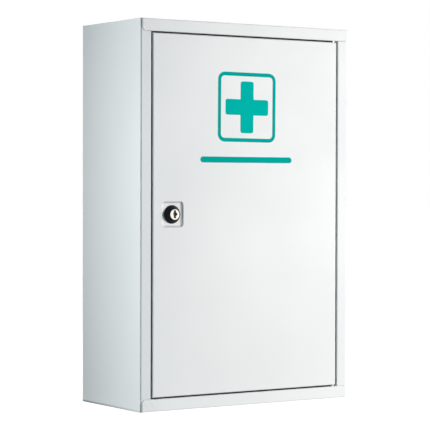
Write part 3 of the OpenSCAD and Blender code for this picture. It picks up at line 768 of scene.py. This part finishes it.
def addPlate(bm, outlines, holes, centre, turn, backY, frontY):  # one inked shape with soft edges
    c, s = math.cos(math.radians(turn)), math.sin(math.radians(turn))

    def ring(points, y):
        return [bm.verts.new((centre[0] + (x * c - z * s) * mm, y, centre[1] + (x * s + z * c) * mm))
                for x, z in points]

    def wall(first, second):
        count = len(first)
        for i in range(count):
            bm.faces.new((first[i], first[(i + 1) % count], second[(i + 1) % count], second[i]))

    outer, outerTop = ring(outlines[0], backY), ring(outlines[1], frontY)
    wall(outer, outerTop)
    if holes:
        inner, innerTop = ring(holes[0], backY), ring(holes[1], frontY)
        wall(innerTop, inner)
        wall(outerTop, innerTop)
        wall(inner, outer)
    else:
        bm.faces.new(outerTop)
        bm.faces.new(list(reversed(outer)))


def finishMesh(bm, name, smoothAngle=None):
    bmesh.ops.remove_doubles(bm, verts=bm.verts, dist=1e-7)
    bmesh.ops.recalc_face_normals(bm, faces=bm.faces)
    mesh = bpy.data.meshes.new(name)
    bm.to_mesh(mesh)
    bm.free()
    if smoothAngle is not None:
        mesh.shade_smooth()
        mesh.set_sharp_from_angle(angle=math.radians(smoothAngle))
    return mesh


emblemPlan = {
    "centre": (-0.00095, 0.3594),  # across and up the door
    "turn": -0.36,  # degrees, the way it was screened
    "frameHalf": (42.0, 41.9),  # mm
    "frameRadius": 9.5,
    "frameLine": 4.6,
    "crossReach": 31.15,
    "crossHalfBar": 9.53,
    "crossRadius": 3.0,
    "crossNook": 0.7,
    "stripeCentre": (-0.0012, 0.2961),
    "stripeHalf": (66.5, 3.6),
    "inkTaper": 0.12,
    "inkDepth": 0.06,
    "inkSink": 0.02,  # into the paint
}


def printEmblem(plan):
    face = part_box("door_panel")[0].y
    back, front = face + plan["inkSink"] * mm, face - plan["inkDepth"] * mm
    taper = plan["inkTaper"]
    bm = bmesh.new()
    halfW, halfH = plan["frameHalf"]
    radius, line = plan["frameRadius"], plan["frameLine"]

    def frameOutline(inset):
        return boxOutline(halfW - inset, halfH - inset, radius - inset)

    addPlate(bm, (frameOutline(0), frameOutline(taper)), (frameOutline(line), frameOutline(line - taper)),
             plan["centre"], plan["turn"], back, front)
    arm, bar, corner, nook = plan["crossReach"], plan["crossHalfBar"], plan["crossRadius"], plan["crossNook"]
    addPlate(bm, (crossOutline(arm, bar, corner, nook),
                  crossOutline(arm - taper, bar - taper, corner - taper, nook + taper)), None,
             plan["centre"], plan["turn"], back, front)
    emblem = newPiece("printed_cross", finishMesh(bm, "printed_cross"), "tealInk")
    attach(emblem, "door")
    bm = bmesh.new()
    halfW, halfH = plan["stripeHalf"]
    addPlate(bm, (boxOutline(halfW, halfH, halfH), boxOutline(halfW - taper, halfH - taper, halfH - taper)),
             None, plan["stripeCentre"], 0, back, front)
    stripe = newPiece("printed_stripe", finishMesh(bm, "printed_stripe"), "tealInk")
    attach(stripe, "door")


printEmblem(emblemPlan)
print("printed cross and stripe on the door")


# lock housing, turned smooth, with a cut thread on its barrel

housingPlan = {
    "steps": 96,
    # radius and depth behind the head's front, mm, round the section from the bore's mouth
    "section": [(5.55, 1.8), (6.45, 1.8), (6.45, 0.12), (6.57, 0.0), (7.0, 0.0), (7.2, 0.08), (7.34, 0.27),
                (10.80, 5.90), (10.94, 6.15), (11.0, 6.4), (11.0, 7.0), (8.0, 7.0), (8.0, 8.4), (7.55, 8.9),
                (7.55, 19.1), (7.25, 19.4), (5.55, 19.4)],
    "firstFlatted": 11,  # from this point on the barrel's two flats are cut
    "flat": 7.0,
    "lugRadii": (5.9, 6.9),
    "lugDepths": (18.9, 20.3),
    "lugSteps": 40,
    "lugSweep": (14, 256),  # degrees, clockwise as seen from the front, from three o'clock
    "pitch": 1.0,
    "threadFrom": 9.2,
    "threadTurns": 9.4,
    "threadMiddle": 7.42,
    "ridge": 0.56,
    "threadFlat": 6.98,  # the ridge ends just inside the flats
    "smoothUpTo": 28,  # degrees between faces
}


def newGrowth(name, takes):  # a geometry group with plain inputs and one mesh output
    tree = bpy.data.node_groups.new(name, "GeometryNodeTree")
    for label, kind in takes:
        tree.interface.new_socket(label, in_out="INPUT", socket_type="NodeSocket" + kind)
    tree.interface.new_socket("Geometry", in_out="OUTPUT", socket_type="NodeSocketGeometry")
    return tree, tree.nodes.new("NodeGroupInput").outputs, tree.nodes.new("NodeGroupOutput").inputs


def handOver(tree, take, give, node):  # what every growth ends in
    whole = addNode(tree, "GeometryNodeRealizeInstances", {"Geometry": node.outputs[0]})
    painted = addNode(tree, "GeometryNodeSetMaterial", {"Geometry": whole.outputs[0],
                                                        "Material": take["Finish"]})
    tree.links.new(painted.outputs[0], give["Geometry"])


def grownMesh(tree, feeds):  # the group's result as a plain mesh
    seed = bpy.data.objects.new("seed", bpy.data.meshes.new("seed"))
    bpy.context.scene.collection.objects.link(seed)
    growth = seed.modifiers.new("growth", "NODES")
    growth.node_group = tree
    for item in tree.interface.items_tree:
        if item.in_out == "INPUT" and item.name in feeds:
            growth[item.identifier] = feeds[item.name]
    seed.update_tag()
    bpy.context.view_layer.update()
    ready = seed.evaluated_get(bpy.context.evaluated_depsgraph_get())
    mesh = bpy.data.meshes.new_from_object(ready)
    bpy.data.objects.remove(seed)
    return mesh


def makeThreadGrowth():
    tree, take, give = newGrowth("threadRidge", [
        ("Pitch", "Float"), ("Turns", "Float"), ("Middle", "Float"), ("Ridge", "Float"), ("Flat", "Float"),
        ("Finish", "Material")])
    rise = product(tree, take["Pitch"], take["Turns"])
    path = addNode(tree, "GeometryNodeCurveSpiral", {
        "Resolution": 72, "Rotations": take["Turns"], "Height": rise, "Start Radius": take["Middle"],
        "End Radius": take["Middle"]})
    upright = addNode(tree, "GeometryNodeSetCurveNormal", {"Curve": path.outputs[0]}, mode="Z_UP")
    shape = addNode(tree, "GeometryNodeCurvePrimitiveCircle", {"Resolution": 3, "Radius": take["Ridge"]},
                    mode="RADIUS")
    solid = addNode(tree, "GeometryNodeCurveToMesh", {
        "Curve": upright.outputs[0], "Profile Curve": shape.outputs[0], "Fill Caps": True})
    part = split(tree, addNode(tree, "GeometryNodeInputPosition").outputs[0])
    inner = calc(tree, "MINIMUM", part[0], take["Flat"])
    inner = calc(tree, "MAXIMUM", inner, product(tree, take["Flat"], -1.0))
    place = put(tree, "CombineXYZ", {0: inner, 1: part[1], 2: part[2]}).outputs[0]
    cut = addNode(tree, "GeometryNodeSetPosition", {"Geometry": solid.outputs[0], "Position": place})
    handOver(tree, take, give, cut)
    return tree


def turnSection(bm, plan, place):
    rings = []
    for index, (radius, depth) in enumerate(plan["section"]):
        ring = []
        for step in range(plan["steps"]):
            angle = 2 * math.pi * step / plan["steps"]
            x, z = radius * math.cos(angle), radius * math.sin(angle)
            if index >= plan["firstFlatted"]:
                x = max(-plan["flat"], min(plan["flat"], x))
            ring.append(bm.verts.new(place(x, depth, z)))
        rings.append(ring)
    for first, second in zip(rings, rings[1:] + rings[:1]):
        for step in range(plan["steps"]):
            after = (step + 1) % plan["steps"]
            bm.faces.new((first[step], first[after], second[after], second[step]))


def sweepLug(bm, plan, place):
    inner, outer = plan["lugRadii"]
    near, far = plan["lugDepths"]
    start, end = plan["lugSweep"]
    slices = []
    for step in range(plan["lugSteps"] + 1):
        angle = math.radians(start + (end - start) * step / plan["lugSteps"])
        across, down = math.cos(angle), -math.sin(angle)
        slices.append([bm.verts.new(place(r * across, d, r * down))
                       for r, d in ((inner, near), (outer, near), (outer, far), (inner, far))])
    for first, second in zip(slices, slices[1:]):
        for side in range(4):
            after = (side + 1) % 4
            bm.faces.new((first[side], first[after], second[after], second[side]))
    bm.faces.new(slices[0])
    bm.faces.new(list(reversed(slices[-1])))


def turnHousing(plan):
    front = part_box("lock_housing")[0].y

    def place(x, depth, z):
        return Vector((lockAxis[0] + x * mm, front + depth * mm, lockAxis[1] + z * mm))

    bm = bmesh.new()
    turnSection(bm, plan, place)
    sweepLug(bm, plan, place)
    ridge = grownMesh(makeThreadGrowth(), {
        "Pitch": plan["pitch"], "Turns": plan["threadTurns"], "Middle": plan["threadMiddle"],
        "Ridge": plan["ridge"], "Flat": plan["threadFlat"], "Finish": finishes["blackLockPaint"]})
    toLock = Matrix(((mm, 0, 0, lockAxis[0]), (0, 0, mm, front + plan["threadFrom"] * mm),
                     (0, -mm, 0, lockAxis[1]), (0, 0, 0, 1)))
    ridge.transform(toLock)
    bm.from_mesh(ridge)
    mesh = finishMesh(bm, "smooth_lock_housing", plan["smoothUpTo"])
    housing = newPiece("smooth_lock_housing", mesh, "blackLockPaint")
    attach(housing, "door")
    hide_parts("lock_housing")
    return housing


housing = turnHousing(housingPlan)
print("lock housing: %d faces with its thread" % len(housing.data.polygons))


# spot welds inside the carcass

weldPlan = {
    "radius": 2.3,
    "top": 1.5,
    "rise": 0.14,
    "sizes": (0.86, 1.1),  # smallest and largest nugget, as shares
    "seed": 11,
    "sheet": 0.8,
    "restSheet": 1.0,
    "shelfTops": (306.0, 154.0),
    "restWeldDrop": 7.8,  # below a shelf's surface
    "restInset": 9,  # from a rest's ends to its first and last weld
    "flangeInset": 7.0,  # from the outside of the cabinet to a flange's middle
    "sideInset": 12,
    "backInset": 26,
    "backHalf": 118,
    "counts": {"rest": 4, "flange": 6, "backSide": 11, "backEnd": 7},
    "smoothUpTo": 40,  # degrees between faces
}


def makeWeldGrowth():
    tree, take, give = newGrowth("weldRow", [
        ("Count", "Int"), ("Start", "Vector"), ("End", "Vector"), ("Facing", "Vector"), ("Radius", "Float"),
        ("Top", "Float"), ("Rise", "Float"), ("Smallest", "Float"), ("Largest", "Float"), ("Seed", "Int"),
        ("Finish", "Material")])
    span = put(tree, "VectorMath", {0: take["End"], 1: take["Start"]}, operation="SUBTRACT").outputs[0]
    share = calc(tree, "DIVIDE", 1.0, calc(tree, "SUBTRACT", take["Count"], 1.0))
    step = put(tree, "VectorMath", {0: span, "Scale": share}, operation="SCALE").outputs[0]
    row = addNode(tree, "GeometryNodeMeshLine", {"Count": take["Count"], "Start Location": take["Start"],
                                                 "Offset": step}, mode="OFFSET")
    nugget = addNode(tree, "GeometryNodeMeshCone", {"Vertices": 24, "Radius Top": take["Top"],
                                                    "Radius Bottom": take["Radius"], "Depth": take["Rise"]})
    turn = addNode(tree, "FunctionNodeAlignRotationToVector", {"Vector": take["Facing"]}, axis="Z")
    size = addNode(tree, "FunctionNodeRandomValue", {2: take["Smallest"], 3: take["Largest"],
                                                     "Seed": take["Seed"]}, data_type="FLOAT")
    dots = addNode(tree, "GeometryNodeInstanceOnPoints", {
        "Points": row.outputs[0], "Instance": nugget.outputs[0], "Rotation": turn.outputs[0],
        "Scale": size.outputs[1]})
    handOver(tree, take, give, dots)
    return tree


def weldRows(plan):  # start, end, facing and count of each row, mm
    low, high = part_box("left_side_panel")
    sheet, inset, counts = plan["sheet"], plan["flangeInset"], plan["counts"]
    outside, top = -low.x / mm, high.z / mm
    restFront, restBack = (edge.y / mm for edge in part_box("upper_left_shelf_rest"))
    front, back = low.y / mm + plan["sideInset"], high.y / mm - plan["sideInset"]
    rearFace = high.y / mm - sheet
    rows = []

    def addRow(xs, ys, zs, facing, count):
        rows.append(((xs[0], ys[0], zs[0]), (xs[1], ys[1], zs[1]), facing, count))

    for side in (-1, 1):
        restFace = side * (outside - sheet - plan["restSheet"])
        for shelfTop in plan["shelfTops"]:
            z = shelfTop - plan["restWeldDrop"]
            endShade = (restFront + plan["restInset"], restBack - plan["restInset"])
            addRow((restFace, restFace), endShade, (z, z), (-side, 0, 0), counts["rest"])
        flangeFace = side * (outside - 2 * sheet)
        for z in (inset, top - inset):
            addRow((flangeFace, flangeFace), (front, back), (z, z), (-side, 0, 0), counts["flange"])
        x = side * (outside - inset)
        addRow((x, x), (rearFace, rearFace), (plan["backInset"], top - plan["backInset"]), (0, -1, 0),
               counts["backSide"])
    half = plan["backHalf"]
    for z in (inset, top - inset):
        addRow((-half, half), (rearFace, rearFace), (z, z), (0, -1, 0), counts["backEnd"])
    return rows


def spotWelds(plan):
    tree = makeWeldGrowth()
    bm = bmesh.new()
    for index, (start, end, facing, count) in enumerate(weldRows(plan)):
        row = grownMesh(tree, {"Count": count, "Start": start, "End": end, "Facing": facing,
                               "Radius": plan["radius"], "Top": plan["top"], "Rise": plan["rise"],
                               "Smallest": plan["sizes"][0], "Largest": plan["sizes"][1],
                               "Seed": plan["seed"] + index, "Finish": finishes["insidePaint"]})
        row.transform(Matrix.Scale(mm, 4))
        bm.from_mesh(row)
    welds = newPiece("spot_welds", finishMesh(bm, "spot_welds", plan["smoothUpTo"]), "insidePaint")
    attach(welds, "cabinet")
    return welds


welds = spotWelds(weldPlan)
print("spot welds: %d faces" % len(welds.data.polygons))


# soft edges on the stamped parts

softEdges = {
    "widths": {"lock_cam": 0.0003, "cam_washer": 0.0002, "turn_stop_washer": 0.0002,
               "upper_door_stop": 0.0002, "lower_door_stop": 0.0002},
    "joinWithin": 0.00001,
    "segments": 2,
    "sharpFrom": 35,  # degrees
}


def softenEdges(node, width, plan):
    joined = node.modifiers.new("joined", "WELD")
    joined.merge_threshold = plan["joinWithin"]
    eased = node.modifiers.new("eased", "BEVEL")
    eased.width = width
    eased.segments = plan["segments"]
    eased.limit_method = "ANGLE"
    eased.angle_limit = math.radians(plan["sharpFrom"])
    eased.harden_normals = True


for name, width in softEdges["widths"].items():
    softenEdges(cadNodes[name], width, softEdges)
print("stamped parts softened")
